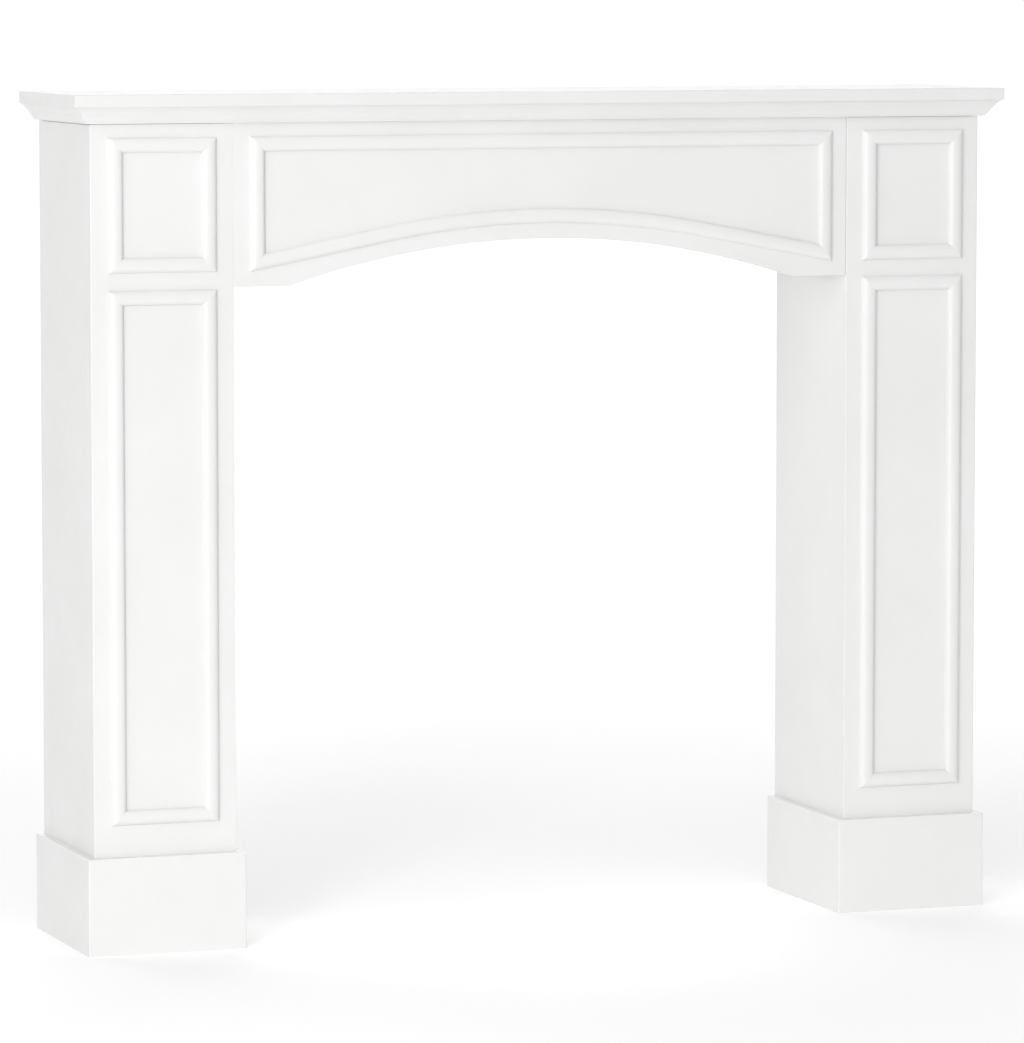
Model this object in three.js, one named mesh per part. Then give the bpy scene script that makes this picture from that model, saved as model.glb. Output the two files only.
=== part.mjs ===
// Fireplace mantelpiece: a free-standing surround of painted boards and mitred mouldings.
// Millimetres, +Z up. The front faces -Y. The origin is on the floor, in the middle of the whole.
import * as THREE from 'three';

// The whole
const shelfLength = 1200;
const shelfDepth = 250;
const overallHeight = 1030;

// Boards
const shelfThickness = 15;
const legBoardThickness = 12;
const friezeThickness = 15;
const plinthThickness = 10;

// Legs and plinths
const legWidth = 177.5;
const plinthHeight = 118;

// Cornice section, from the shelf down: fillet, cove, quirk, ovolo, toe
const filletHeight = 1.2;
const coveHeight = 8.3;
const quirkHeight = 0.7;
const ovoloHeight = 8.2;
const toeHeight = 1.6;
const filletLedge = 0.5;
const coveReach = 7.6;
const quirkReach = 0.7;
const ovoloReach = 5.8;
const toeLedge = 0.4;
const toeReach = 7;
const coveHollow = 0.6; // how far the cove's middle lies behind a straight slope
const ovoloBelly = 0.4; // how far the ovolo's middle stands out from one
const shelfReveal = 3; // the shelf stands this far past the cornice
const corniceClearance = 0.5; // behind the cornice, to the boards that pass it

// Frieze board
const friezeEndHeight = 196; // below the cornice, at the legs
const archRise = 52;
const archShoulder = 70; // flat stretch between a leg and the arch

// Panel mouldings: one raised strip section for every frame
const stripWidth = 18;
const stripHeight = 6.9;
const stripCrest = 9.6; // from the outer edge to the highest line
const stripOuterLip = 0.3;
const stripInnerLip = 1.2;
const stripOuterRoundness = 2.4; // 2 would be a quarter of an ellipse, and more is squarer
const stripInnerRoundness = 2.9;

// Where the frames lie
const frameTopMargin = 16.5; // below the cornice
const legFrameSideMargin = 21.5;
const upperFrameHeight = 161;
const frameGap = 20.5; // between a leg's two frames
const lowerFrameFootMargin = 38; // above the plinth
const friezeFrameSideMargin = 20.5;
const archFrameMargin = 18.5; // between the arch and the rail that follows it
const railStraightRun = 175; // each end of that rail is straight

// Facets
const archSegments = 24;
const railSegments = 16;
const slopeSegments = 6;
const slopeFacets = 5; // of the cornice's cove and ovolo

const paint = { color: 0xf3f3f1, roughness: 0.42, metalness: 0 };

// Sizes that follow
const corniceHeight = filletHeight + coveHeight + quirkHeight + ovoloHeight + toeHeight;
const corniceReach = filletLedge + coveReach + quirkReach + ovoloReach + toeLedge + toeReach;
const corniceSeat = Math.max(friezeThickness, legBoardThickness);
const shelfOverhang = corniceReach + shelfReveal;
const halfWidth = shelfLength / 2 - shelfOverhang;
const halfOpening = halfWidth - legWidth;
const backY = shelfDepth / 2;
const frontY = shelfOverhang - shelfDepth / 2;
const shelfBottom = overallHeight - shelfThickness;
const legTop = shelfBottom - corniceHeight;
const friezeFoot = legTop - friezeEndHeight;

const mantelpiece = new THREE.Group();
mantelpiece.name = 'fireplace_mantelpiece';

function addPiece(name, geometry) {
  const mesh = new THREE.Mesh(geometry, new THREE.MeshStandardMaterial(paint));
  mesh.name = name;
  mantelpiece.add(mesh);
  return mesh;
}

// A prism over a closed outline, given as [x, y] corners.
function prism(outline, height) {
  const shape = new THREE.Shape(outline.map(([x, y]) => new THREE.Vector2(x, y)));
  return new THREE.ExtrudeGeometry(shape, { depth: height, bevelEnabled: false });
}

// Stands a piece drawn in the front plane, x across and y up, with its thickness towards the front.
function standUp(mesh, y) {
  mesh.rotation.x = Math.PI / 2;
  mesh.position.y = y;
}

// A side board, its face looking left or right, drawn in elevation as [y, z] corners. Its front edge is
// mitred.
function addSideBoard(name, elevation, { faceX, faces, front, thickness }) {
  const geometry = prism(elevation, thickness);
  const position = geometry.getAttribute('position');
  for (let i = 0; i < position.count; i += 1) {
    const fromFace = faces === 'left' ? position.getZ(i) : thickness - position.getZ(i);
    if (position.getX(i) === Math.fround(front)) position.setX(i, front + fromFace);
  }
  geometry.computeVertexNormals();
  const board = addPiece(name, geometry);
  board.rotation.set(Math.PI / 2, 0, Math.PI / 2, 'ZXY');
  board.position.x = faces === 'left' ? faceX : faceX - thickness;
}

// Three boards round the front and sides of a rectangle, open at the back, with mitred front corners.
// The elevations of the two side boards may differ from the plain rectangle.
function addBoxOfBoards(name, { left, right, front, back, top, thickness }, outerSide, innerElevation) {
  const rectangle = [[front, 0], [back, 0], [back, top], [front, top]];
  const frontPlan = [[left, front], [right, front], [right - thickness, front + thickness],
    [left + thickness, front + thickness]];
  addPiece(`${name}_front`, prism(frontPlan, top));
  for (const faces of ['left', 'right']) {
    const isOuter = faces === outerSide;
    const elevation = isOuter ? rectangle : innerElevation ?? rectangle;
    addSideBoard(`${name}_${isOuter ? 'outer' : 'inner'}_side`, elevation, {
      faceX: faces === 'left' ? left : right, faces, front, thickness,
    });
  }
}

// Stations along a polyline: each point with its sideways vector, to the left of the way along, which is
// long enough at a corner that both sides keep their width. The ends of an open line are cut square.
function mitredStations(points, closed) {
  const count = points.length;
  const sideAfter = points.map(([x, y], i) => {
    const [nextX, nextY] = points[(i + 1) % count];
    const length = Math.hypot(nextX - x, nextY - y);
    return [(y - nextY) / length, (nextX - x) / length];
  });
  return points.map(([x, y], i) => {
    const before = closed || i > 0 ? sideAfter[(i + count - 1) % count] : sideAfter[i];
    const after = closed || i < count - 1 ? sideAfter[i] : before;
    const stretch = 1 + before[0] * after[0] + before[1] * after[1];
    return { x, y, sideX: (before[0] + after[0]) / stretch, sideY: (before[1] + after[1]) / stretch };
  });
}

// A moulding: its section, [sideways, upwards], carried along the stations.
function mouldingGeometry(section, stations) {
  const steps = stations.length - 1;
  const shape = new THREE.Shape(section.map(([u, h]) => new THREE.Vector2(u, h)));
  const geometry = new THREE.ExtrudeGeometry(shape, { depth: steps, steps, bevelEnabled: false });
  const position = geometry.getAttribute('position');
  for (let i = 0; i < position.count; i += 1) {
    const station = stations[Math.round(position.getZ(i))];
    const sideways = position.getX(i);
    const upwards = position.getY(i);
    position.setXYZ(i, station.x + sideways * station.sideX, station.y + sideways * station.sideY, upwards);
  }
  geometry.computeVertexNormals();
  return geometry;
}

// One round side of the raised strip, from its lip up to the crest, as [distance from the crest, height].
function roundSide(reach, lip, roundness) {
  const side = [];
  for (let i = 0; i <= slopeSegments; i += 1) {
    const angle = (i / slopeSegments) * Math.PI / 2;
    const height = lip + (stripHeight - lip) * Math.sin(angle);
    side.push([i < slopeSegments ? reach * Math.cos(angle) ** (2 / roundness) : 0, height]);
  }
  return side;
}

// Heights of the raised strip, from the frame's outer edge inwards.
function stripSection() {
  const outer = roundSide(stripCrest, stripOuterLip, stripOuterRoundness);
  const inner = roundSide(stripWidth - stripCrest, stripInnerLip, stripInnerRoundness);
  return [[0, 0], ...outer.map(([away, height]) => [stripCrest - away, height]),
    ...inner.reverse().slice(1).map(([away, height]) => [stripCrest + away, height]), [stripWidth, 0]];
}

// A slope from one point of the cornice section up to another, bowed outwards at its middle, or inwards
// where the bow is negative.
function bowedSlope([startOut, startUp], [endOut, endUp], bow) {
  const length = Math.hypot(endOut - startOut, endUp - startUp);
  const slope = [];
  for (let i = 0; i <= slopeFacets; i += 1) {
    const t = i / slopeFacets;
    const offset = (bow * 4 * t * (1 - t)) / length;
    slope.push([startOut + (endOut - startOut) * t + (endUp - startUp) * offset,
      startUp + (endUp - startUp) * t - (endOut - startOut) * offset]);
  }
  return slope;
}

// The cornice section, measured outwards from the boards' faces and up from its foot.
function corniceSection() {
  const ovoloFoot = [toeReach + toeLedge, toeHeight];
  const ovoloHead = [ovoloFoot[0] + ovoloReach, ovoloFoot[1] + ovoloHeight];
  const quirk = [ovoloHead[0] + quirkReach, ovoloHead[1]];
  const coveFoot = [quirk[0], quirk[1] + quirkHeight];
  const coveHead = [coveFoot[0] + coveReach, coveFoot[1] + coveHeight];
  return [[-corniceSeat, 0], [toeReach, 0], [toeReach, toeHeight],
    ...bowedSlope(ovoloFoot, ovoloHead, ovoloBelly), quirk,
    ...bowedSlope(coveFoot, coveHead, -coveHollow),
    [corniceReach, coveHead[1]], [corniceReach, corniceHeight], [-corniceSeat, corniceHeight]];
}

// Height of the arch above its springing, and of any curve drawn a margin outside it.
const archHalfSpan = halfOpening - archShoulder;
const archRadius = (archHalfSpan ** 2 + archRise ** 2) / (2 * archRise);
function archHeight(x, margin = 0) {
  return archRise - archRadius + Math.sqrt((archRadius + margin) ** 2 - x ** 2);
}

function friezeOutline() {
  const outline = [[halfOpening, friezeFoot], [halfOpening, legTop], [-halfOpening, legTop],
    [-halfOpening, friezeFoot], [-archHalfSpan, friezeFoot]];
  const halfAngle = Math.asin(archHalfSpan / archRadius);
  for (let i = 1; i < archSegments; i += 1) {
    const x = archRadius * Math.sin(halfAngle * ((2 * i) / archSegments - 1));
    outline.push([x, friezeFoot + archHeight(x)]);
  }
  outline.push([archHalfSpan, friezeFoot]);
  return outline;
}

// The foot of the frieze's frame, left to right: straight, then round with the arch, then straight.
function railPoints(halfFrame) {
  const curveHalf = halfFrame - railStraightRun;
  const radius = archRadius + archFrameMargin;
  const halfAngle = Math.asin(curveHalf / radius);
  const endHeight = archHeight(curveHalf, archFrameMargin) - railStraightRun * Math.tan(halfAngle);
  const points = [[-halfFrame, friezeFoot + endHeight]];
  for (let i = 0; i <= railSegments; i += 1) {
    const x = radius * Math.sin(halfAngle * ((2 * i) / railSegments - 1));
    points.push([x, friezeFoot + archHeight(x, archFrameMargin)]);
  }
  points.push([halfFrame, friezeFoot + endHeight]);
  return points;
}

// A frame of four strips, mitred at the corners. Its outer edge runs anticlockwise as seen from the front:
// the foot, left to right, then the two top corners.
function addFrame(name, foot, top) {
  const left = foot[0][0];
  const right = foot[foot.length - 1][0];
  const stations = mitredStations([...foot, [right, top], [left, top]], true);
  const footEnd = foot.length - 1;
  const runs = {
    bottom: stations.slice(0, footEnd + 1),
    right: [stations[footEnd], stations[footEnd + 1]],
    top: [stations[footEnd + 1], stations[footEnd + 2]],
    left: [stations[footEnd + 2], stations[0]],
  };
  for (const [side, run] of Object.entries(runs)) {
    standUp(addPiece(`${name}_moulding_${side}`, mouldingGeometry(stripSection(), run)), frontY);
  }
}

// Mantel shelf
const shelf = addPiece('mantel_shelf', new THREE.BoxGeometry(shelfLength, shelfDepth, shelfThickness));
shelf.position.z = shelfBottom + shelfThickness / 2;

// Cornice, from the back of the right side round the front to the back of the left side
const corniceCorners = [[halfWidth, backY], [halfWidth, frontY], [-halfWidth, frontY], [-halfWidth, backY]];
const corniceStations = mitredStations(corniceCorners, false);
['cornice_right', 'cornice_front', 'cornice_left'].forEach((name, i) => {
  const run = corniceStations.slice(i, i + 2);
  addPiece(name, mouldingGeometry(corniceSection(), run)).position.z = legTop;
});

// Frieze board, between the legs and flush with them
const friezeBoard = addPiece('frieze_board', prism(friezeOutline(), friezeThickness));
standUp(friezeBoard, frontY + friezeThickness);
addFrame('frieze', railPoints(halfOpening - friezeFrameSideMargin), legTop - frameTopMargin);

// Legs, each with its plinth and its two frames. The inner side boards pass behind the cornice to the shelf.
const notchY = frontY + corniceSeat + corniceClearance;
const shelfBearerElevation = [[frontY, 0], [backY, 0], [backY, shelfBottom], [notchY, shelfBottom],
  [notchY, legTop], [frontY, legTop]];
for (const side of ['left', 'right']) {
  const left = side === 'left' ? -halfWidth : halfOpening;
  const right = left + legWidth;
  addBoxOfBoards(`${side}_leg`, {
    left, right, front: frontY, back: backY, top: legTop, thickness: legBoardThickness,
  }, side, shelfBearerElevation);
  addBoxOfBoards(`${side}_plinth`, {
    left: left - plinthThickness,
    right: right + plinthThickness,
    front: frontY - plinthThickness,
    back: backY,
    top: plinthHeight,
    thickness: plinthThickness,
  }, side);

  const frameLeft = left + legFrameSideMargin;
  const frameRight = right - legFrameSideMargin;
  const upperTop = legTop - frameTopMargin;
  const upperFoot = upperTop - upperFrameHeight;
  const lowerFoot = plinthHeight + lowerFrameFootMargin;
  addFrame(`${side}_leg_upper`, [[frameLeft, upperFoot], [frameRight, upperFoot]], upperTop);
  addFrame(`${side}_leg_lower`, [[frameLeft, lowerFoot], [frameRight, lowerFoot]], upperFoot - frameGap);
}

export default mantelpiece;
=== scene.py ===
"""The fireplace mantelpiece as it looks: painted boards and mitred mouldings in soft studio light.

Metres, +Z up. The front faces -Y, and the origin is on the floor, in the middle of the whole. Each
piece takes its place from the frame's nodes, and adds what a board or a moulding has when it is seen
close by: eased arrises, open joints, round mouldings and sprayed paint.
"""

import logging
import math
from collections.abc import Callable, Sequence
from dataclasses import dataclass, field
from enum import Enum
from itertools import pairwise
from typing import Self

import bmesh
import bpy
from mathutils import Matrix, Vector


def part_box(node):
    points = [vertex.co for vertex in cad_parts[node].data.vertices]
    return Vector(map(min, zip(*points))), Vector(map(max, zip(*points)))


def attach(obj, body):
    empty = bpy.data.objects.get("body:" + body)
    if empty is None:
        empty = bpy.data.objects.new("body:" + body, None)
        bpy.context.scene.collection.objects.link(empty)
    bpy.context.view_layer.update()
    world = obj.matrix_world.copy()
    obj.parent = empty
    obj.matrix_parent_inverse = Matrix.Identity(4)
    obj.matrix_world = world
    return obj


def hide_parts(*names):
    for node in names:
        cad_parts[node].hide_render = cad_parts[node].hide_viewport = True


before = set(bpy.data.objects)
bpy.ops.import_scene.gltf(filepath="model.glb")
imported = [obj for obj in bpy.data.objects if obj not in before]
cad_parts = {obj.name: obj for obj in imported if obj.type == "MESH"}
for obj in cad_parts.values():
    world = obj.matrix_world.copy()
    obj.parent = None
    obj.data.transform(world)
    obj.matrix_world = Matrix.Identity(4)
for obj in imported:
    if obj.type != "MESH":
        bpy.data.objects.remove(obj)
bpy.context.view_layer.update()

logging.basicConfig(level=logging.INFO, format="%(message)s")
log = logging.getLogger("mantelpiece")

SAME_PLACE = 1e-5  # two places nearer than this are one
MERGE_DISTANCE = 2e-6
MARKER_SIZE = 0.001  # of the plane that is merged into an outline's first point
NOISE_RANGE = (0.3, 0.7)  # what nearly all of a noise lies between
WIDE_FACES_WEIGHT = 80  # above 50, the wider faces lead in a corner's shading
WHITE = (1.0, 1.0, 1.0, 1.0)

Plane = dict[str, float]


class Slot(Enum):
    """The record's material slots."""

    BOARD = "painted_board"
    MOULDING = "painted_moulding"


class Side(Enum):
    """The two sides of the whole, by the sign of X."""

    LEFT = -1
    RIGHT = 1

    @property
    def word(self) -> str:
        """The side's name in a node's name."""
        return self.name.lower()

    @property
    def other(self) -> "Side":
        """The opposite side."""
        return Side(-self.value)


class Grain(Enum):
    """The way that a length of moulding was run through the cutter, as the noise's stretch on X, Y, Z."""

    NONE = (1.0, 1.0, 1.0)
    ALONG_X = (0.04, 1.0, 1.0)
    ALONG_Y = (1.0, 0.04, 1.0)
    ALONG_Z = (1.0, 1.0, 0.04)


def choose(piece: bpy.types.Object) -> None:
    """Selects one object, and nothing else."""
    bpy.ops.object.select_all(action="DESELECT")
    piece.select_set(True)
    bpy.context.view_layer.objects.active = piece


class Bench:
    """One mesh open in edit mode. What an operator acts on is picked in code, by its place."""

    def __init__(self, piece: bpy.types.Object) -> None:
        """Takes the piece to work on, a mesh object that sits at the origin."""
        self.piece = piece

    def __enter__(self) -> Self:
        """Opens the mesh with nothing selected.

        Returns:
            The bench itself.
        """
        choose(self.piece)
        bpy.ops.object.mode_set(mode="EDIT")
        bpy.ops.mesh.select_mode(type="VERT")
        bpy.ops.mesh.select_all(action="DESELECT")
        return self

    def __exit__(self, *_: object) -> None:
        """Closes the mesh."""
        bpy.ops.object.mode_set(mode="OBJECT")

    def pick_all(self) -> None:
        """Selects the whole mesh."""
        bpy.ops.mesh.select_all(action="SELECT")

    def pick(self, kind: str, rule: Callable[[bmesh.types.BMEdge | bmesh.types.BMFace], bool]) -> None:
        """Selects the edges or the faces that fit a rule, and nothing else.

        Args:
            kind: "EDGE" or "FACE".
            rule: says whether one is wanted.
        """
        bpy.ops.mesh.select_mode(type=kind)
        bpy.ops.mesh.select_all(action="DESELECT")
        mesh = bmesh.from_edit_mesh(self.piece.data)
        for part in mesh.edges if kind == "EDGE" else mesh.faces:
            if rule(part):
                part.select_set(True)
        bmesh.update_edit_mesh(self.piece.data)

    def pick_edges(self, rule: Callable[[Vector, Vector], bool]) -> None:
        """Selects the edges whose two ends fit a rule, and nothing else."""
        self.pick("EDGE", lambda edge: rule(edge.verts[0].co, edge.verts[1].co))

    def pick_arrises(self, *lines: Plane) -> None:
        """Selects the edges that lie on a line where planes meet.

        Args:
            lines: each line as the planes that it lies on, such as {"x": 0.1, "z": 0.5}.
        """

        def on_a_line(start: Vector, end: Vector) -> bool:
            """Says whether both ends lie on one of the lines."""
            return any(
                all(abs(getattr(point, axis) - place) < SAME_PLACE
                    for axis, place in line.items() for point in (start, end))
                for line in lines
            )

        self.pick_edges(on_a_line)

    def pick_sharp(self, along: Vector, angle: float) -> None:
        """Selects the sharp edges that run one way, and nothing else.

        Args:
            along: the way that they run.
            angle: the least angle between an edge's two faces.
        """

        def is_wanted(edge: bmesh.types.BMEdge) -> bool:
            """Says whether an edge runs that way and is sharp."""
            way = (edge.verts[1].co - edge.verts[0].co).normalized()
            runs_along = abs(way.dot(along)) > 1 - SAME_PLACE
            return runs_along and edge.is_manifold and edge.calc_face_angle() > angle

        self.pick("EDGE", is_wanted)

    def pick_top(self, height: float) -> None:
        """Selects the level faces at a height, and nothing else."""
        self.pick("FACE", lambda face: all(abs(corner.co.z - height) < SAME_PLACE for corner in face.verts))

    def ease(self, width: float, segments: int = 3) -> None:
        """Rounds the selected edges, by a width on each face and in a number of facets."""
        bpy.ops.mesh.bevel(offset_type="OFFSET", offset=width, segments=segments, profile=0.5,
                           affect="EDGES", clamp_overlap=True)

    def cut_off(self, point: Vector, outwards: Vector) -> None:
        """Cuts away all that lies beyond the plane through a point, and closes the cut."""
        self.pick_all()
        bpy.ops.mesh.bisect(plane_co=point, plane_no=outwards, use_fill=True, clear_inner=False,
                            clear_outer=True, threshold=MERGE_DISTANCE)

    def pull(self, by: Vector) -> None:
        """Extrudes what is selected."""
        bpy.ops.mesh.extrude_region_move(TRANSFORM_OT_translate={"value": by})

    def draw_and_fill(self, points: Sequence[Vector]) -> None:
        """Draws on from point to point, until the outline is closed, and fills it.

        Args:
            points: from the point that is selected to the outline's first.
        """
        for here, there in pairwise(points):
            self.pull(there - here)
        self.pick_all()
        bpy.ops.mesh.remove_doubles(threshold=MERGE_DISTANCE)
        bpy.ops.mesh.edge_face_add()

    def swing_over(self, centre: Vector, angle: float, steps: int) -> None:
        """Spins what is selected round a centre in the front plane, clockwise as seen from the front."""
        bpy.ops.mesh.spin(steps=steps, angle=angle, center=centre, axis=(0, -1, 0), dupli=False)

    def clean(self) -> None:
        """Merges doubles and turns all faces outwards."""
        self.pick_all()
        bpy.ops.mesh.remove_doubles(threshold=MERGE_DISTANCE)
        bpy.ops.mesh.normals_make_consistent(inside=False)


def settled(name: str) -> bpy.types.Object:
    """Names the object that was just added, and moves its place into its mesh.

    Args:
        name: the object's name.

    Returns:
        The object, at the origin.
    """
    bpy.ops.object.transform_apply(location=True, rotation=True, scale=True)
    piece = bpy.context.object
    piece.name = name
    piece.data.name = name
    return piece


def block(name: str, low: Vector, high: Vector) -> bpy.types.Object:
    """Adds a plain block at its size and place, to be shaped.

    Args:
        name: the object's name.
        low: the lowest corner.
        high: the highest corner.

    Returns:
        The new object, at the origin, with its place in its mesh.
    """
    bpy.ops.object.select_all(action="DESELECT")
    bpy.ops.mesh.primitive_cube_add(size=1.0, location=(low + high) / 2, scale=high - low)
    return settled(name)


def first_point(name: str, place: Vector) -> bpy.types.Object:
    """Adds a mesh that is one point, from which an outline is drawn.

    Args:
        name: the object's name.
        place: where the point is.

    Returns:
        The new object.
    """
    bpy.ops.object.select_all(action="DESELECT")
    bpy.ops.mesh.primitive_plane_add(size=MARKER_SIZE, location=place)
    piece = settled(name)
    with Bench(piece) as bench:
        bench.pick_all()
        bpy.ops.mesh.merge(type="CENTER")
    return piece


def outline(name: str, points: Sequence[Vector]) -> bpy.types.Object:
    """Draws a closed outline from point to point and fills it.

    Args:
        name: the object's name.
        points: the outline's corners in order.

    Returns:
        The new object, one flat face.
    """
    piece = first_point(name, points[0])
    with Bench(piece) as bench:
        bench.pick_all()
        bench.draw_and_fill([*points, points[0]])
    return piece


def strip_name(node: str) -> str:
    """Gives the name of the strip that stands for a moulding node."""
    return node.replace("_moulding_", "_strip_")


def copy_of(piece: bpy.types.Object, name: str, move: Vector = Vector()) -> bpy.types.Object:
    """Copies a finished piece with a mesh of its own.

    Args:
        piece: what is copied.
        name: the copy's name.
        move: where it goes, from where the first one is.

    Returns:
        The copy, at the origin, with its place in its mesh.
    """
    choose(piece)
    bpy.ops.object.duplicate(linked=False)
    bpy.ops.transform.translate(value=move)
    return settled(name)


def turned_over(piece: bpy.types.Object, centre: Vector) -> bpy.types.Object:
    """Turns a piece half round in the front plane, so that a foot strip becomes a head strip.

    Args:
        piece: what is turned.
        centre: the point that it turns about.

    Returns:
        The same piece.
    """
    with Bench(piece) as bench:
        bench.pick_all()
        bpy.ops.transform.rotate(value=math.pi, orient_axis="Y", orient_type="GLOBAL",
                                 center_override=centre)
    return piece


def smooth(piece: bpy.types.Object, angle: float = math.radians(35)) -> None:
    """Cleans a shaped piece and shades its rounds smooth and its flats flat.

    Args:
        piece: what is finished.
        angle: edges sharper than this stay crisp.
    """
    with Bench(piece) as bench:
        bench.clean()
    bpy.ops.object.shade_smooth_by_angle(angle=angle)
    bpy.ops.object.modifier_add(type="WEIGHTED_NORMAL")
    weighting = piece.modifiers[-1]
    weighting.keep_sharp = True
    weighting.weight = WIDE_FACES_WEIGHT
    bpy.ops.object.modifier_apply(modifier=weighting.name)


def cut_away(piece: bpy.types.Object, low: Vector, high: Vector) -> None:
    """Cuts a box-shaped bite out of a piece.

    Args:
        piece: what is cut.
        low: the bite's lowest corner.
        high: the bite's highest corner.
    """
    cutter = block("cutter", low, high)
    choose(piece)
    bpy.ops.object.modifier_add(type="BOOLEAN")
    bite = piece.modifiers[-1]
    bite.operation = "DIFFERENCE"
    bite.solver = "EXACT"
    bite.object = cutter
    bpy.ops.object.modifier_apply(modifier=bite.name)
    cut_mesh = cutter.data
    bpy.data.objects.remove(cutter)
    bpy.data.meshes.remove(cut_mesh)


def bowed_slope(start: tuple[float, float], end: tuple[float, float], bow: float,
                steps: int) -> list[tuple[float, float]]:
    """Works out a slope of a section that is bowed a little.

    Args:
        start: its lower end.
        end: its upper end.
        bow: how far its middle stands out to its right, or in, where negative.
        steps: how many facets it has.

    Returns:
        Its points, both ends included.
    """
    run, rise = end[0] - start[0], end[1] - start[1]
    length = math.hypot(run, rise)
    points = []
    for step in range(steps + 1):
        t = step / steps
        offset = bow * 4 * t * (1 - t) / length
        points.append((start[0] + run * t + rise * offset, start[1] + rise * t - run * offset))
    return points


def open_edges(piece: bpy.types.Object) -> int:
    """Counts the edges that don't have exactly two faces, which a closed piece has none of."""
    mesh = bmesh.new()
    mesh.from_mesh(piece.data)
    count = sum(not edge.is_manifold for edge in mesh.edges)
    mesh.free()
    return count


def along_way(tree: bpy.types.NodeTree, place: bpy.types.NodeSocket, way: Vector) -> bpy.types.NodeSocket:
    """Adds a node that gives how far a place lies along a way.

    Args:
        tree: the nodes that it joins.
        place: the place.
        way: the way, one unit long.

    Returns:
        The distance.
    """
    dot = tree.nodes.new("ShaderNodeVectorMath")
    dot.operation = "DOT_PRODUCT"
    dot.inputs[1].default_value = way
    tree.links.new(place, dot.inputs[0])
    return dot.outputs["Value"]


def smooth_rise(tree: bpy.types.NodeTree, value: bpy.types.NodeSocket, start: float, end: float,
                height: float) -> bpy.types.NodeSocket:
    """Adds a node that rises smoothly from nothing.

    Args:
        tree: the nodes that it joins.
        value: what it goes by.
        start: where it starts to rise.
        end: where it has risen.
        height: how high it rises.

    Returns:
        Its height.
    """
    rise = tree.nodes.new("ShaderNodeMapRange")
    rise.interpolation_type = "SMOOTHSTEP"
    rise.inputs["From Min"].default_value = start
    rise.inputs["From Max"].default_value = end
    rise.inputs["To Max"].default_value = height
    tree.links.new(value, rise.inputs["Value"])
    return rise.outputs["Result"]


def sum_of(tree: bpy.types.NodeTree, parts: Sequence[bpy.types.NodeSocket]) -> bpy.types.NodeSocket:
    """Adds nodes that add up all parts.

    Args:
        tree: the nodes that they join.
        parts: what is added up.

    Returns:
        The sum.
    """
    total = parts[0]
    for part in parts[1:]:
        add = tree.nodes.new("ShaderNodeMath")
        add.operation = "ADD"
        tree.links.new(part, add.inputs[0])
        tree.links.new(total, add.inputs[1])
        total = add.outputs["Value"]
    return total


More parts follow.
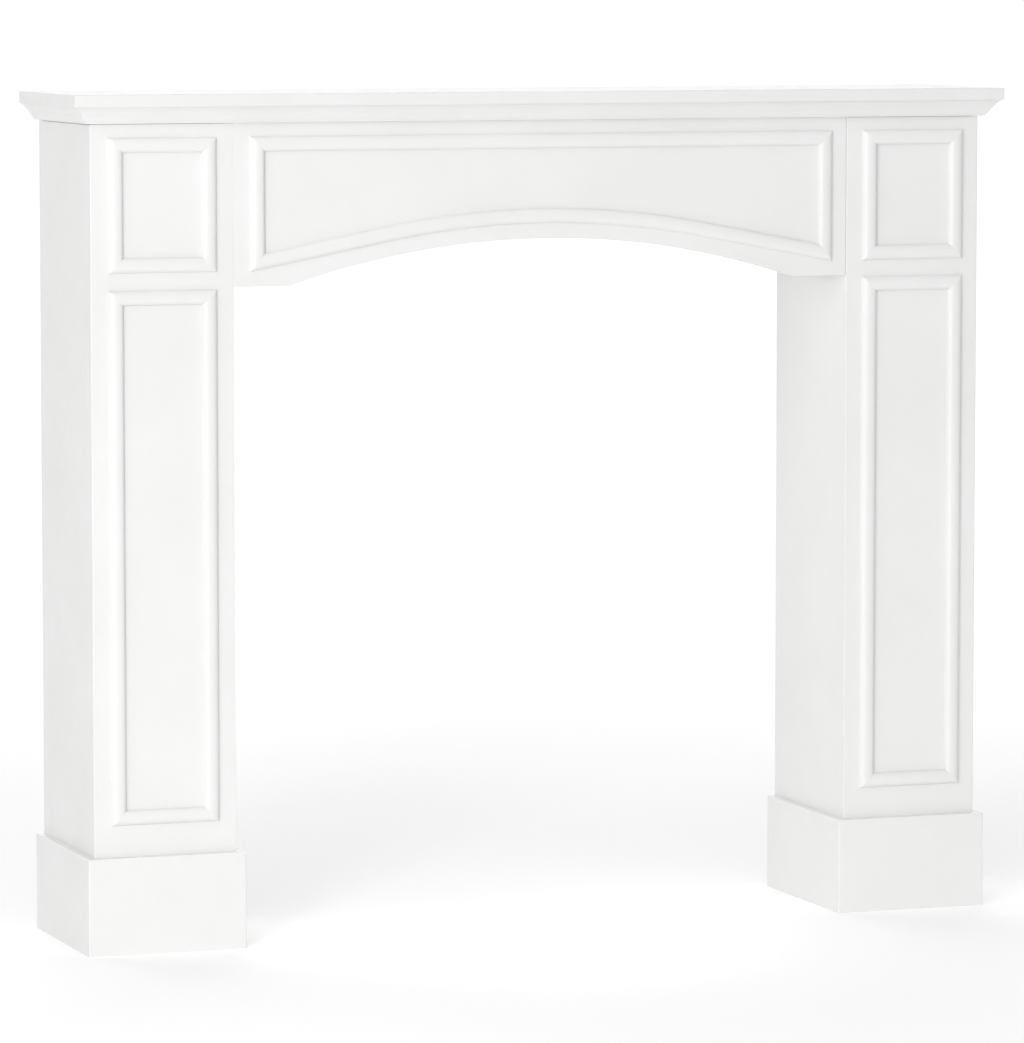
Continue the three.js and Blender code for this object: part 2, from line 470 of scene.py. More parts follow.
@dataclass(frozen=True)
class SatinPaint:
    """White satin paint, sprayed on smooth fibreboard or on a milled moulding.

    The tone drifts a little from place to place, the film has a fine orange peel, and on a moulding
    the cutter's faint streaks run along its length.
    """

    name: str
    tone: tuple[float, float, float] = (0.83, 0.83, 0.825)
    shade_tone: tuple[float, float, float] = (0.80, 0.80, 0.793)
    drift_scale: float = 7.0
    gloss_scale: float = 63.0
    roughness_low: float = 0.36
    roughness_high: float = 0.52
    peel_scale: float = 620.0
    peel_height: float = 0.00002
    streak_scale: float = 260.0
    streak_height: float = 0.00002
    refraction: float = 1.47
    grain: Grain = Grain.NONE

    def material(self) -> bpy.types.Material:
        """Builds the paint's nodes.

        Returns:
            The material, or the one that was built before under this name.
        """
        known = bpy.data.materials.get(self.name)
        if known is not None:
            return known
        paint = bpy.data.materials.new(self.name)
        paint.use_nodes = True
        tree = paint.node_tree
        shader = tree.nodes["Principled BSDF"]
        shader.inputs["IOR"].default_value = self.refraction
        place = tree.nodes.new("ShaderNodeTexCoord").outputs["Object"]

        tones = tree.nodes.new("ShaderNodeValToRGB")
        stops = zip(tones.color_ramp.elements, NOISE_RANGE, (self.shade_tone, self.tone))
        for stop, position, tone in stops:
            stop.position = position
            stop.color = (*tone, 1.0)
        drift = self.noise(tree, place, self.drift_scale, detail=5.0, roughness=0.6)
        tree.links.new(drift, tones.inputs["Fac"])
        tree.links.new(tones.outputs["Color"], shader.inputs["Base Color"])

        gloss = tree.nodes.new("ShaderNodeMapRange")
        for name, number in zip(("From Min", "From Max", "To Min", "To Max"),
                                (*NOISE_RANGE, self.roughness_low, self.roughness_high)):
            gloss.inputs[name].default_value = number
        tree.links.new(self.noise(tree, place, self.gloss_scale, detail=3.0), gloss.inputs["Value"])
        tree.links.new(gloss.outputs["Result"], shader.inputs["Roughness"])

        along = tree.nodes.new("ShaderNodeMapping")
        along.inputs["Scale"].default_value = self.grain.value
        tree.links.new(place, along.inputs["Vector"])
        peel = self.relief(tree, self.noise(tree, place, self.peel_scale, detail=1.5),
                           self.peel_height, strength=0.6)
        streaks = self.relief(tree, self.noise(tree, along.outputs["Vector"], self.streak_scale, detail=4.0),
                              self.streak_height, strength=0.5)
        tree.links.new(peel.outputs["Normal"], streaks.inputs["Normal"])
        tree.links.new(streaks.outputs["Normal"], shader.inputs["Normal"])
        return paint

    def noise(self, tree: bpy.types.NodeTree, place: bpy.types.NodeSocket, scale: float, detail: float,
              roughness: float = 0.5) -> bpy.types.NodeSocket:
        """Adds a noise.

        Args:
            tree: the paint's nodes.
            place: what the noise goes by.
            scale: how fine it is.
            detail: how many finer layers it has.
            roughness: how strong the finer layers are.

        Returns:
            The noise, about 0.5 on average.
        """
        texture = tree.nodes.new("ShaderNodeTexNoise")
        texture.inputs["Scale"].default_value = scale
        texture.inputs["Detail"].default_value = detail
        texture.inputs["Roughness"].default_value = roughness
        tree.links.new(place, texture.inputs["Vector"])
        return texture.outputs["Fac"]

    def relief(self, tree: bpy.types.NodeTree, height: bpy.types.NodeSocket, distance: float,
               strength: float) -> bpy.types.Node:
        """Adds a bump.

        Args:
            tree: the paint's nodes.
            height: the relief, from 0 to 1.
            distance: its real height in metres.
            strength: how much of it shows.

        Returns:
            The bump's node.
        """
        bump = tree.nodes.new("ShaderNodeBump")
        bump.inputs["Strength"].default_value = strength
        bump.inputs["Distance"].default_value = distance
        tree.links.new(height, bump.inputs["Height"])
        return bump


BOARD_PAINT = SatinPaint("satin_paint_on_board")
LENGTHWAYS_PAINT = SatinPaint("satin_paint_on_moulding_x", grain=Grain.ALONG_X)
DEPTHWAYS_PAINT = SatinPaint("satin_paint_on_moulding_y", grain=Grain.ALONG_Y)
UPRIGHT_PAINT = SatinPaint("satin_paint_on_moulding_z", grain=Grain.ALONG_Z)


def stand_for(piece: bpy.types.Object, node: str, paint: SatinPaint) -> None:
    """Paints a finished piece and puts it in its node's place.

    Args:
        piece: the finished piece.
        node: the node that it stands for.
        paint: its finish.
    """
    piece.data.materials.clear()
    piece.data.materials.append(paint.material())
    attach(piece, "root")
    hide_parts(node)
    log.info("%s: %d faces, %d open edges", piece.name, len(piece.data.polygons), open_edges(piece))


@dataclass
class MantelShelf:
    """The flat top board."""

    arris: float = 0.0009

    def build(self) -> None:
        """Makes the shelf with eased arrises."""
        low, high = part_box("mantel_shelf")
        piece = block("shelf_board", low, high)
        with Bench(piece) as bench:
            bench.pick_all()
            bench.ease(self.arris)
        smooth(piece)
        stand_for(piece, "mantel_shelf", BOARD_PAINT)


@dataclass
class Cornice:
    """The moulding under the shelf: three lengths of one section, mitred at the corners.

    The section goes down from the shelf: a fillet, a flat cove, a quirk, a flat ovolo and a toe.
    """

    fillet_height: float = 0.0012
    cove_height: float = 0.0083
    quirk_height: float = 0.0007
    ovolo_height: float = 0.0082
    toe_height: float = 0.0016
    fillet_ledge: float = 0.0005
    cove_reach: float = 0.0076
    quirk_reach: float = 0.0007
    ovolo_reach: float = 0.0058
    toe_ledge: float = 0.0004
    toe_reach: float = 0.007
    cove_hollow: float = 0.0006
    ovolo_belly: float = 0.0004
    seat: float = 0.015
    round_steps: int = 12
    arris: float = 0.00025
    eased_angle: float = math.radians(40)  # corners sharper than this are eased
    crisp_angle: float = math.radians(30)  # and edges sharper than this aren't shaded smooth

    @property
    def reach(self) -> float:
        """How far the cornice stands out from the boards' faces."""
        return (self.fillet_ledge + self.cove_reach + self.quirk_reach + self.ovolo_reach
                + self.toe_ledge + self.toe_reach)

    def section(self) -> list[tuple[float, float]]:
        """Works out the section.

        Returns:
            Corners as (out from the boards' faces, up from the foot), anticlockwise.
        """
        ovolo_foot = (self.toe_reach + self.toe_ledge, self.toe_height)
        ovolo_head = (ovolo_foot[0] + self.ovolo_reach, ovolo_foot[1] + self.ovolo_height)
        quirk = (ovolo_head[0] + self.quirk_reach, ovolo_head[1])
        cove_foot = (quirk[0], quirk[1] + self.quirk_height)
        cove_head = (cove_foot[0] + self.cove_reach, cove_foot[1] + self.cove_height)
        head = cove_head[1] + self.fillet_height
        return [(-self.seat, 0.0), (self.toe_reach, 0.0), (self.toe_reach, self.toe_height),
                *bowed_slope(ovolo_foot, ovolo_head, self.ovolo_belly, self.round_steps), quirk,
                *bowed_slope(cove_foot, cove_head, -self.cove_hollow, self.round_steps),
                (self.reach, cove_head[1]), (self.reach, head), (-self.seat, head)]

    def length(self, name: str, start: Vector, end: Vector, outwards: Vector) -> bpy.types.Object:
        """Runs one length of the moulding.

        Args:
            name: the piece's name.
            start: where the boards' face begins, at the moulding's foot.
            end: where it ends.
            outwards: the way that the moulding faces.

        Returns:
            The length, square at both ends.
        """
        up = Vector((0, 0, 1))
        piece = outline(name, [start + outwards * out + up * rise for out, rise in self.section()])
        with Bench(piece) as bench:
            bench.pick_all()
            bench.pull(end - start)
            bench.clean()
            bench.pick_sharp((end - start).normalized(), self.eased_angle)
            bench.ease(self.arris, segments=2)
        return piece

    def build(self) -> None:
        """Makes the front length and the two side lengths."""
        low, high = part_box("cornice_front")
        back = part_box("cornice_left")[1].y
        left, right, front, foot = low.x + self.reach, high.x - self.reach, low.y + self.reach, low.z
        spare = 2 * self.reach
        for side in Side:
            edge = left if side is Side.LEFT else right
            corner = Vector((edge, front, foot))
            piece = self.length(f"cornice_{side.word}_length", corner - Vector((0, spare, 0)),
                                Vector((edge, back, foot)), Vector((side.value, 0, 0)))
            with Bench(piece) as bench:
                bench.cut_off(corner, Vector((-side.value, -1, 0)).normalized())
            self.finish(piece, f"cornice_{side.word}", DEPTHWAYS_PAINT)
        piece = self.length("cornice_front_length", Vector((left - spare, front, foot)),
                            Vector((right + spare, front, foot)), Vector((0, -1, 0)))
        with Bench(piece) as bench:
            bench.cut_off(Vector((left, front, foot)), Vector((-1, 1, 0)).normalized())
            bench.cut_off(Vector((right, front, foot)), Vector((1, 1, 0)).normalized())
        self.finish(piece, "cornice_front", LENGTHWAYS_PAINT)

    def finish(self, piece: bpy.types.Object, node: str, paint: SatinPaint) -> None:
        """Smooths a mitred length and puts it in its node's place."""
        smooth(piece, self.crisp_angle)
        stand_for(piece, node, paint)


@dataclass
class StripSection:
    """The raised strip of every panel frame, from the frame's outer edge inwards."""

    width: float = 0.018
    height: float = 0.0069
    crest: float = 0.0096  # from the outer edge to the highest line
    outer_lip: float = 0.0003
    inner_lip: float = 0.0012
    outer_roundness: float = 2.4  # 2 would be a quarter of an ellipse, and more is squarer
    inner_roundness: float = 2.9
    round_steps: int = 12

    def side(self, reach: float, lip: float, roundness: float) -> list[tuple[float, float]]:
        """Works out one round side.

        Args:
            reach: from the crest to this side's edge.
            lip: the height at the edge.
            roundness: how square the round is.

        Returns:
            Points as (distance from the crest, height), from the lip to the crest.
        """
        points = []
        for step in range(self.round_steps + 1):
            angle = math.pi / 2 * step / self.round_steps
            away = reach * max(math.cos(angle), 0.0) ** (2 / roundness) if step < self.round_steps else 0.0
            points.append((away, lip + (self.height - lip) * math.sin(angle)))
        return points

    def corners(self) -> list[tuple[float, float]]:
        """Works out the whole section.

        Returns:
            Corners as (inwards from the outer edge, height over the board).
        """
        outer = self.side(self.crest, self.outer_lip, self.outer_roundness)
        inner = self.side(self.width - self.crest, self.inner_lip, self.inner_roundness)
        return [(0.0, 0.0), *((self.crest - away, height) for away, height in outer),
                *((self.crest + away, height) for away, height in reversed(inner[:-1])),
                (self.width, 0.0)]


@dataclass
class PanelStrips:
    """Makes the strips of a panel frame on the boards' front plane."""

    front: float
    section: StripSection = field(default_factory=StripSection)

    def point(self, x: float, z: float, height: float = 0.0) -> Vector:
        """Gives a point over the boards' front plane."""
        return Vector((x, self.front - height, z))

    def profile(self, name: str, start: Vector, along: Vector) -> bpy.types.Object:
        """Draws the section square to a strip's way.

        Args:
            name: the piece's name.
            start: a point of the frame's outer edge.
            along: the strip's way, with the frame's inside on its left as seen from the front.

        Returns:
            The section, one flat face.
        """
        inwards = Vector((-along.z, 0, along.x))
        return outline(name, [start + inwards * across + Vector((0, -height, 0))
                              for across, height in self.section.corners()])

    def mitre(self, piece: bpy.types.Object, corner: Vector, before: Vector, after: Vector,
              keep: Vector) -> None:
        """Cuts one end of a strip at a frame's corner.

        Args:
            piece: the strip.
            corner: the frame's outer corner.
            before: the way of the strip that ends there.
            after: the way of the strip that starts there.
            keep: points from the corner along the strip that is cut.
        """
        normal = (before + after).normalized()
        with Bench(piece) as bench:
            bench.cut_off(corner, normal if normal.dot(keep) < 0 else -normal)

    def straight(self, name: str, corners: Sequence[Vector], before: Vector,
                 after: Vector) -> bpy.types.Object:
        """Makes one straight strip, mitred at both ends.

        Args:
            name: the piece's name.
            corners: the frame's outer corners that it runs between.
            before: the way of the strip before it.
            after: the way of the strip after it.

        Returns:
            The strip.
        """
        start, end = corners
        along = (end - start).normalized()
        spare = along * 2 * self.section.width
        piece = self.profile(name, start - spare, along)
        with Bench(piece) as bench:
            bench.pick_all()
            bench.pull(end - start + 2 * spare)
        self.mitre(piece, start, before, along, along)
        self.mitre(piece, end, along, after, -along)
        smooth(piece)
        return piece


@dataclass
class Arch:
    """The low arch of the frieze's foot, and lines that follow it at a distance."""

    half_span: float
    springing: float
    rise: float = 0.052

    @property
    def radius(self) -> float:
        """The arch's radius."""
        return (self.half_span ** 2 + self.rise ** 2) / (2 * self.rise)

    @property
    def centre_height(self) -> float:
        """The height of the arch's centre, far below the floor."""
        return self.springing + self.rise - self.radius

    def height(self, x: float, margin: float = 0.0) -> float:
        """Gives the height of the arch, or of a line a margin above it, at a place."""
        return self.centre_height + math.sqrt((self.radius + margin) ** 2 - x ** 2)

    def half_angle(self, x: float, margin: float = 0.0) -> float:
        """Gives the angle from the arch's middle to a place."""
        return math.asin(x / (self.radius + margin))


@dataclass
class Frieze:
    """The board between the legs, with its arched foot and the panel frame that follows it."""

    arch_shoulder: float = 0.070
    arch_steps: int = 96
    rail_margin: float = 0.0185  # between the arch and the rail that follows it
    rail_straight_run: float = 0.175
    rail_steps: int = 64
    left_seam_arris: float = 0.0010
    right_seam_arris: float = 0.0016
    foot_arris: float = 0.0007
    top_arris: float = 0.0007
    joint: float = 0.0003  # the narrow gap between the board's front and the cornice
    joint_depth: float = 0.006

    def build(self) -> None:
        """Makes the board and its four strips."""
        low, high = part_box("frieze_board")
        arch = Arch(half_span=high.x - self.arch_shoulder, springing=low.z)
        self.board(low, high, arch)
        self.frame_strips(low.y, arch)

    def board(self, low: Vector, high: Vector, arch: Arch) -> None:
        """Makes the board.

        Args:
            low: the node's lowest corner.
            high: the node's highest corner.
            arch: the arch of its foot.
        """
        piece = first_point("frieze_arched_board", Vector((-arch.half_span, low.y, low.z)))
        with Bench(piece) as bench:
            bench.pick_all()
            bench.swing_over(Vector((0, low.y, arch.centre_height)),
                             2 * arch.half_angle(arch.half_span), self.arch_steps)
            bench.draw_and_fill([Vector((x, low.y, z)) for x, z in (
                (arch.half_span, low.z), (high.x, low.z), (high.x, high.z), (low.x, high.z),
                (low.x, low.z), (-arch.half_span, low.z))])
            bench.pull(Vector((0, high.y - low.y, 0)))
            bench.clean()
            for edge, arris in ((low.x, self.left_seam_arris), (high.x, self.right_seam_arris)):
                bench.pick_arrises({"y": low.y, "x": edge})
                bench.ease(arris)
        cut_away(piece, Vector((low.x - self.joint_depth, low.y - self.joint_depth, high.z - self.joint)),
                 Vector((high.x + self.joint_depth, low.y + self.joint_depth, high.z + self.joint_depth)))
        with Bench(piece) as bench:
            bench.pick_arrises({"y": low.y, "z": high.z - self.joint})
            bench.ease(self.top_arris)
            crown = arch.springing + arch.rise + SAME_PLACE
            inside = high.x - self.left_seam_arris + SAME_PLACE
            bench.pick_edges(lambda start, end: all(
                abs(point.y - low.y) < SAME_PLACE and point.z < crown and abs(point.x) < inside
                for point in (start, end)))
            bench.ease(self.foot_arris)
        smooth(piece)
        stand_for(piece, "frieze_board", BOARD_PAINT)

    def frame_strips(self, front: float, arch: Arch) -> None:
        """Makes the panel frame's strips.

        Args:
            front: the board's front plane.
            arch: the arch that the foot rail follows.
        """
        strips = PanelStrips(front)
        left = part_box("frieze_moulding_left")[0].x
        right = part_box("frieze_moulding_right")[1].x
        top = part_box("frieze_moulding_top")[1].z
        curve_half = right - self.rail_straight_run
        half_angle = arch.half_angle(curve_half, self.rail_margin)
        foot = arch.height(curve_half, self.rail_margin) - self.rail_straight_run * math.tan(half_angle)
        corners = [strips.point(left, foot), strips.point(right, foot), strips.point(right, top),
                   strips.point(left, top)]
        rising = Vector((math.cos(half_angle), 0, math.sin(half_angle)))
        falling = Vector((rising.x, 0, -rising.z))
        up, down = Vector((0, 0, 1)), Vector((0, 0, -1))
        leftwards = Vector((-1, 0, 0))

        straight_length = self.rail_straight_run / rising.x
        spare = 2 * strips.section.width
        rail = strips.profile("frieze_strip_foot", corners[0] - rising * spare, rising)
        with Bench(rail) as bench:
            bench.pick_all()
            bench.pull(rising * (straight_length + spare))
            bench.swing_over(Vector((0, front, arch.centre_height)), 2 * half_angle, self.rail_steps)
            bench.pull(falling * (straight_length + spare))
        strips.mitre(rail, corners[0], down, rising, rising)
        strips.mitre(rail, corners[1], falling, up, -falling)
        smooth(rail)
        stand_for(rail, "frieze_moulding_bottom", LENGTHWAYS_PAINT)

        for name, node, ends, before, after, paint in (
                ("frieze_strip_right", "frieze_moulding_right", (1, 2), falling, leftwards, UPRIGHT_PAINT),
                ("frieze_strip_head", "frieze_moulding_top", (2, 3), up, down, LENGTHWAYS_PAINT),
                ("frieze_strip_left", "frieze_moulding_left", (3, 0), leftwards, rising, UPRIGHT_PAINT)):
            piece = strips.straight(name, [corners[end] for end in ends], before, after)
            stand_for(piece, node, paint)


@dataclass
class BoxOfBoards:
    """Three boards round the front and sides of a leg or a plinth, mitred at the front corners."""

    node: str
    outer: Side
    outer_arris: float  # of the corner towards the room's side
    inner_arris: float  # of the corner towards the opening
    top_arris: float
    back_arris: float = 0.0006
    front_joint: float = 0.0  # the narrow gap between the front and a moulding on top of it
    side_joint: float = 0.0  # the same at the side
    joint_depth: float = 0.006

    def bounds(self) -> tuple[Vector, Vector]:
        """Gives the corners of the whole box of boards, up to the front board's top."""
        low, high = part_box(f"{self.node}_front")
        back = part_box(f"{self.node}_outer_side")[1].y
        return low, Vector((high.x, back, high.z))

    @property
    def thickness(self) -> float:
        """The boards' thickness."""
        low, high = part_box(f"{self.node}_front")
        return high.y - low.y

    def whole(self, name: str, joint: float, head: float | None = None) -> bpy.types.Object:
        """Makes the box as one block with the rounds that its boards share.

        Args:
            name: the piece's name.
            joint: the gap that is left above the boards' faces.
            head: how high a board reaches that goes up past the front board, with its top left crisp.

        Returns:
            The block.
        """
        low, high = self.bounds()
        rim = high.z - joint
        arrises = {self.outer: self.outer_arris, self.outer.other: self.inner_arris}
        piece = block(name, low, Vector((high.x, high.y, head or rim)))

        def on_the_rim(start: Vector, end: Vector) -> bool:
            """Says whether an edge runs round the top of the boards' faces."""
            return all(abs(point.z - rim) < SAME_PLACE
                       and min(point.x - low.x, high.x - point.x, point.y - low.y) < self.outer_arris
                       for point in (start, end)) and min(start.y, end.y) < high.y - SAME_PLACE

        with Bench(piece) as bench:
            if head is None and joint > 0:
                bench.pick_top(rim)
                bpy.ops.mesh.inset(thickness=self.joint_depth)
                bench.pull(Vector((0, 0, joint)))
            for edge, side in ((low.x, Side.LEFT), (high.x, Side.RIGHT)):
                bench.pick_arrises({"x": edge, "y": low.y})
                bench.ease(arrises[side], segments=4)
            if head is None:
                bench.pick_edges(on_the_rim)
                bench.ease(self.top_arris)
        return piece

    def front_board(self) -> bpy.types.Object:
        """Cuts the front board out of the whole.

        Returns:
            The board.
        """
        low, high = self.bounds()
        piece = self.whole(f"{self.node}_front_board", self.front_joint)
        with Bench(piece) as bench:
            bench.cut_off(Vector((low.x, low.y + self.thickness, low.z)), Vector((0, 1, 0)))
            bench.cut_off(Vector((low.x, low.y, low.z)), Vector((-1, 1, 0)).normalized())
            bench.cut_off(Vector((high.x, low.y, low.z)), Vector((1, 1, 0)).normalized())
        return piece

    def side_board(self, side: Side, head: float | None = None) -> bpy.types.Object:
        """Cuts a side board out of the whole.

        Args:
            side: which one.
            head: how high it reaches, where it goes up past the front board.

        Returns:
            The board.
        """
        low, high = self.bounds()
        edge = low.x if side is Side.LEFT else high.x
        word = "outer" if side is self.outer else "inner"
        piece = self.whole(f"{self.node}_{word}_board", self.side_joint, head)
        with Bench(piece) as bench:
            bench.cut_off(Vector((edge - side.value * self.thickness, low.y, low.z)),
                          Vector((-side.value, 0, 0)))
            bench.cut_off(Vector((edge, low.y, low.z)), Vector((-side.value, -1, 0)).normalized())
            bench.pick_arrises({"y": high.y, "x": edge})
            bench.ease(self.back_arris)
        return piece


@dataclass
class Leg:
    """A hollow leg of three boards, and the plinth round its foot."""

    side: Side
    corner_arris: float = 0.0014
    seam_arris: float = 0.0004  # of the corner that the frieze butts against
    top_arris: float = 0.0007
    front_joint: float = 0.0006
    side_joint: float = 0.0013
    plinth_arris: float = 0.0012

    @property
    def name(self) -> str:
        """The start of the leg's node names."""
        return f"{self.side.word}_leg"

    def build(self) -> None:
        """Makes the leg's boards and its plinth's."""
        leg = BoxOfBoards(self.name, self.side, self.corner_arris, self.seam_arris, self.top_arris,
                          front_joint=self.front_joint, side_joint=self.side_joint)
        boards = {f"{leg.node}_front": leg.front_board(),
                  f"{leg.node}_outer_side": leg.side_board(self.side),
                  f"{leg.node}_inner_side": self.shelf_bearer(leg)}
        plinth = BoxOfBoards(f"{self.side.word}_plinth", self.side, self.corner_arris,
                             self.corner_arris, self.plinth_arris)
        boards |= {f"{plinth.node}_front": plinth.front_board(),
                   f"{plinth.node}_outer_side": plinth.side_board(self.side),
                   f"{plinth.node}_inner_side": plinth.side_board(self.side.other)}
        for node, board in boards.items():
            smooth(board)
            stand_for(board, node, BOARD_PAINT)

    def shelf_bearer(self, leg: BoxOfBoards) -> bpy.types.Object:
        """Makes the inner side board, which goes up behind the cornice and carries the shelf.

        Args:
            leg: the leg's box of boards.

        Returns:
            The board, notched round the cornice.
        """
        low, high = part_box(f"{self.name}_inner_side")
        leg_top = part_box(f"{self.name}_front")[1].z
        board = leg.side_board(self.side.other, head=high.z)
        spare = Vector((leg.thickness, leg.thickness, leg.thickness))
        cut_away(board, Vector((low.x, low.y, leg_top)) - Vector((spare.x, spare.y, 0)),
                 Vector((high.x, self.notch_place(), high.z)) + Vector((spare.x, 0, spare.z)))
        return board

    def notch_place(self) -> float:
        """Gives the front of the part that carries the shelf, just behind the cornice."""
        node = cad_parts[f"{self.name}_inner_side"]
        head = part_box(f"{self.name}_inner_side")[1].z
        return min(vertex.co.y for vertex in node.data.vertices if abs(vertex.co.z - head) < SAME_PLACE)


@dataclass
class LegFrames:
    """The panel frames of both legs: each strip is made once, and copied where it comes again."""

    def build(self) -> None:
        """Makes the left leg's two frames, copies them across and puts all in place."""
        strips = PanelStrips(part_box("left_leg_front")[0].y)
        up, down = Vector((0, 0, 1)), Vector((0, 0, -1))
        leftwards, rightwards = Vector((-1, 0, 0)), Vector((1, 0, 0))
        pieces: dict[str, bpy.types.Object] = {}
        for which in ("upper", "lower"):
            node = f"left_leg_{which}_moulding"
            left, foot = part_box(f"{node}_left")[0].x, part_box(f"{node}_bottom")[0].z
            right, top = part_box(f"{node}_right")[1].x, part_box(f"{node}_top")[1].z
            middle = strips.point((left + right) / 2, (foot + top) / 2)
            below_right, above_right = strips.point(right, foot), strips.point(right, top)
            name = strip_name(f"{node}_bottom")
            if which == "upper":
                bottom = strips.straight(name, [strips.point(left, foot), below_right], down, up)
                upper_foot = foot
            else:
                upper = pieces["left_leg_upper_moulding_bottom"]
                bottom = copy_of(upper, name, Vector((0, 0, foot - upper_foot)))
            upright = strips.straight(strip_name(f"{node}_right"), [below_right, above_right],
                                      rightwards, leftwards)
            pieces[f"{node}_bottom"] = bottom
            pieces[f"{node}_right"] = upright
            pieces[f"{node}_top"] = turned_over(copy_of(bottom, strip_name(f"{node}_top")), middle)
            pieces[f"{node}_left"] = turned_over(copy_of(upright, strip_name(f"{node}_left")), middle)

        across = Vector((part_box("right_leg_front")[0].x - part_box("left_leg_front")[0].x, 0, 0))
        for node, piece in list(pieces.items()):
            twin_node = node.replace("left_leg", "right_leg", 1)
            pieces[twin_node] = copy_of(piece, strip_name(twin_node), across)
        for node, piece in pieces.items():
            is_level = node.endswith(("_bottom", "_top"))
            stand_for(piece, node, LENGTHWAYS_PAINT if is_level else UPRIGHT_PAINT)


@dataclass(frozen=True)
class SkyPanel:
    """A soft bright patch of the surroundings, as a big white panel far away gives."""

    azimuth: float  # degrees round from straight in front of the mantelpiece, to its right
    elevation: float
    brightness: float
    core: float = 15.0  # degrees from its middle to where it starts to fade
    reach: float = 45.0  # and to where it ends

    @property
    def direction(self) -> Vector:
        """The way from the mantelpiece to the panel."""
        around, up = math.radians(self.azimuth), math.radians(self.elevation)
        return Vector((math.sin(around) * math.cos(up), -math.cos(around) * math.cos(up), math.sin(up)))

    def add_to(self, tree: bpy.types.NodeTree, looking: bpy.types.NodeSocket) -> bpy.types.NodeSocket:
        """Adds the panel's nodes to the world, and gives how bright it is in the direction looked in."""
        return smooth_rise(tree, along_way(tree, looking, self.direction),
                           math.cos(math.radians(self.reach)), math.cos(math.radians(self.core)),
                           self.brightness)


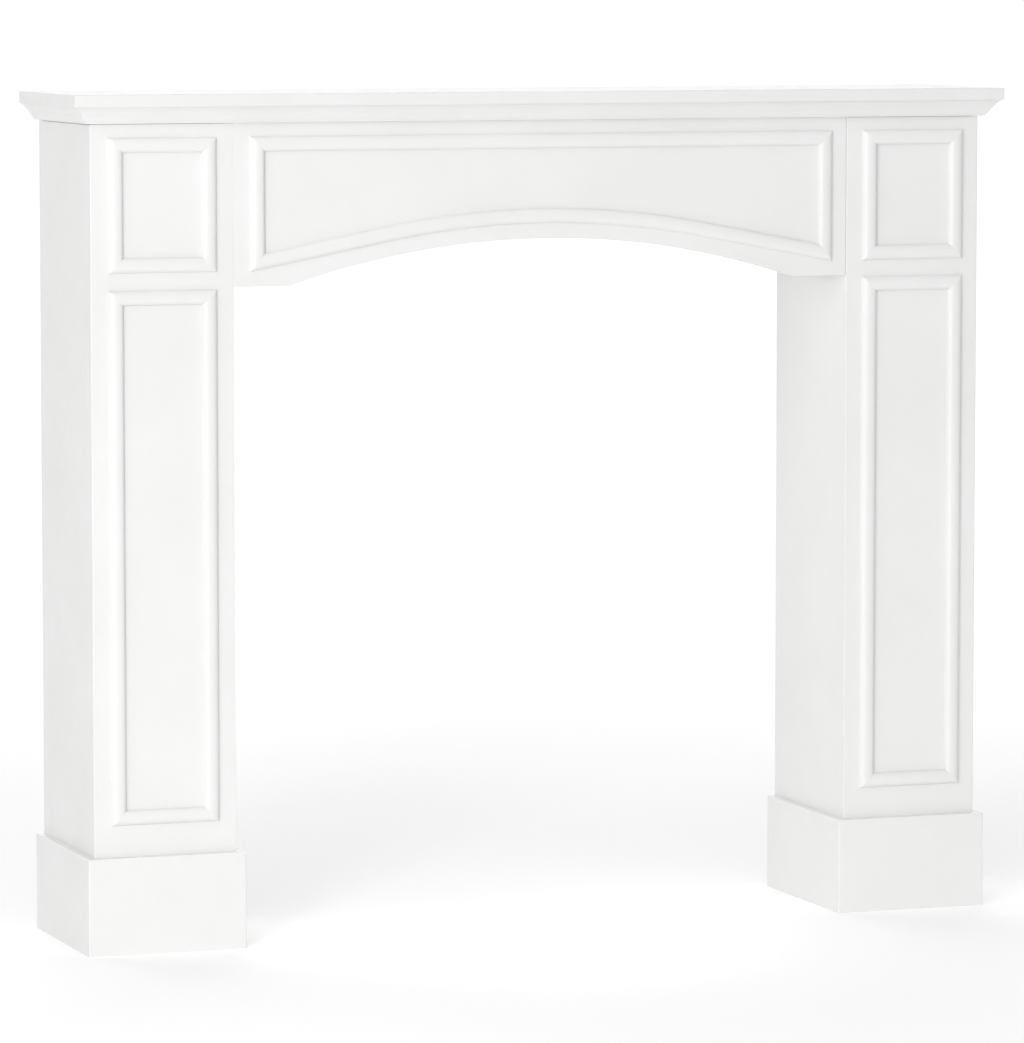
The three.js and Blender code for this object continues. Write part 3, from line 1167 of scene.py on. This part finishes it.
@dataclass
class Studio:
    """A white floor that glows with painted light of its own, a soft key light from the left, and a camera
    at the photograph's angle.
    """

    camera_place: tuple[float, float, float] = (-2.4949, -6.8719, 1.1868)
    camera_yaw: float = 19.900  # degrees to the right of straight at the front
    camera_pitch: float = -5.401
    lens: float = 204.52
    sensor: float = 36.0  # on the picture's long side
    floor_radius: float = 60.0
    floor_tone: tuple[float, float, float] = (0.86, 0.86, 0.86)
    floor_roughness: float = 0.9
    floor_glow: float = 0.225  # the floor's painted glow round the mantelpiece, light given off by the floor itself
    far_glow: float = 0.13  # painted glow added far behind it
    # the glow's two rises, each from where to where, in metres past the middle as the camera looks
    glow_edge: tuple[float, float] = (-1.7, -0.87)
    far_edge: tuple[float, float] = (0.3, 3.0)
    key_place: tuple[float, float, float] = (-2.09, -2.59, 1.15)
    key_target: tuple[float, float, float] = (0.0, -0.1, 0.6)
    key_size: float = 0.554
    key_power: float = 27.4
    panels: tuple[SkyPanel, ...] = (
        SkyPanel(azimuth=180, elevation=30, brightness=1.90),
        SkyPanel(azimuth=0, elevation=30, brightness=0.48),
        SkyPanel(azimuth=0, elevation=60, brightness=0.57),
        SkyPanel(azimuth=90, elevation=40, brightness=0.50),
        SkyPanel(azimuth=-45, elevation=40, brightness=0.22),
        SkyPanel(azimuth=135, elevation=5, brightness=0.72),
        SkyPanel(azimuth=-135, elevation=5, brightness=0.15),
        SkyPanel(azimuth=-45, elevation=5, brightness=1.56),
    )

    def build(self) -> None:
        """Sets up floor, key light, surroundings and camera."""
        self.floor()
        self.key_light()
        self.surroundings()
        self.camera()
        bpy.context.scene.view_settings.view_transform = "Standard"
        bpy.context.scene.view_settings.look = "None"

    def floor(self) -> None:
        """Lays the floor, which glows with painted light from a little before the mantelpiece to far behind
        it.
        """
        bpy.ops.object.select_all(action="DESELECT")
        bpy.ops.mesh.primitive_circle_add(vertices=96, radius=self.floor_radius, fill_type="NGON")
        floor = bpy.context.object
        floor.name = "studio_floor"
        paper = bpy.data.materials.new("white_floor_painted_glow")
        paper.use_nodes = True
        tree = paper.node_tree
        shader = tree.nodes["Principled BSDF"]
        shader.inputs["Base Color"].default_value = (*self.floor_tone, 1.0)
        shader.inputs["Roughness"].default_value = self.floor_roughness
        shader.inputs["Emission Color"].default_value = WHITE
        # painted light: the floor glows by its own emission, and more strongly the further it lies from the
        # front
        tree.links.new(self.glow(tree), shader.inputs["Emission Strength"])
        floor.data.materials.append(paper)

    def glow(self, tree: bpy.types.NodeTree) -> bpy.types.NodeSocket:
        """Makes the floor's painted glow, light given off by the floor itself, which rises a little before
        the mantelpiece and again far behind.

        Args:
            tree: the floor material's nodes.

        Returns:
            How strongly the floor glows at a place.
        """
        yaw = math.radians(self.camera_yaw)
        place = tree.nodes.new("ShaderNodeTexCoord").outputs["Object"]
        ahead = along_way(tree, place, Vector((math.sin(yaw), math.cos(yaw), 0)))
        return sum_of(tree, [smooth_rise(tree, ahead, *self.glow_edge, self.floor_glow),
                             smooth_rise(tree, ahead, *self.far_edge, self.far_glow)])

    def key_light(self) -> None:
        """Hangs the key light, a soft box in front on the left."""
        towards = Vector(self.key_target) - Vector(self.key_place)
        bpy.ops.object.light_add(type="AREA", location=self.key_place,
                                 rotation=towards.to_track_quat("-Z", "Y").to_euler())
        key = bpy.context.object
        key.name = "key_light"
        key.data.shape = "SQUARE"
        key.data.size = self.key_size
        key.data.energy = self.key_power

    def surroundings(self) -> None:
        """Makes the world: white where the camera sees it, and soft panels as light."""
        world = bpy.context.scene.world or bpy.data.worlds.new("studio")
        bpy.context.scene.world = world
        world.use_nodes = True
        tree = world.node_tree
        tree.nodes.clear()
        looking = tree.nodes.new("ShaderNodeTexCoord").outputs["Generated"]
        lighting = tree.nodes.new("ShaderNodeBackground")
        tree.links.new(sum_of(tree, [panel.add_to(tree, looking) for panel in self.panels]),
                       lighting.inputs["Strength"])
        backdrop = tree.nodes.new("ShaderNodeBackground")
        seen = tree.nodes.new("ShaderNodeLightPath")
        either = tree.nodes.new("ShaderNodeMixShader")
        tree.links.new(seen.outputs["Is Camera Ray"], either.inputs["Fac"])
        tree.links.new(lighting.outputs["Background"], either.inputs[1])
        tree.links.new(backdrop.outputs["Background"], either.inputs[2])
        for background in (lighting, backdrop):
            background.inputs["Color"].default_value = WHITE
        tree.links.new(either.outputs["Shader"], tree.nodes.new("ShaderNodeOutputWorld").inputs["Surface"])

    def camera(self) -> None:
        """Sets up the camera."""
        bpy.ops.object.camera_add(location=self.camera_place,
                                  rotation=(math.radians(90 + self.camera_pitch), 0,
                                            -math.radians(self.camera_yaw)))
        camera = bpy.context.object
        camera.data.sensor_width = self.sensor
        camera.data.lens = self.lens
        bpy.context.scene.camera = camera


def main() -> None:
    """Builds the mantelpiece and its studio."""
    MantelShelf().build()
    Cornice().build()
    Frieze().build()
    Leg(Side.LEFT).build()
    Leg(Side.RIGHT, seam_arris=0.0012).build()
    LegFrames().build()
    Studio().build()


if __name__ == "__main__":
    main()
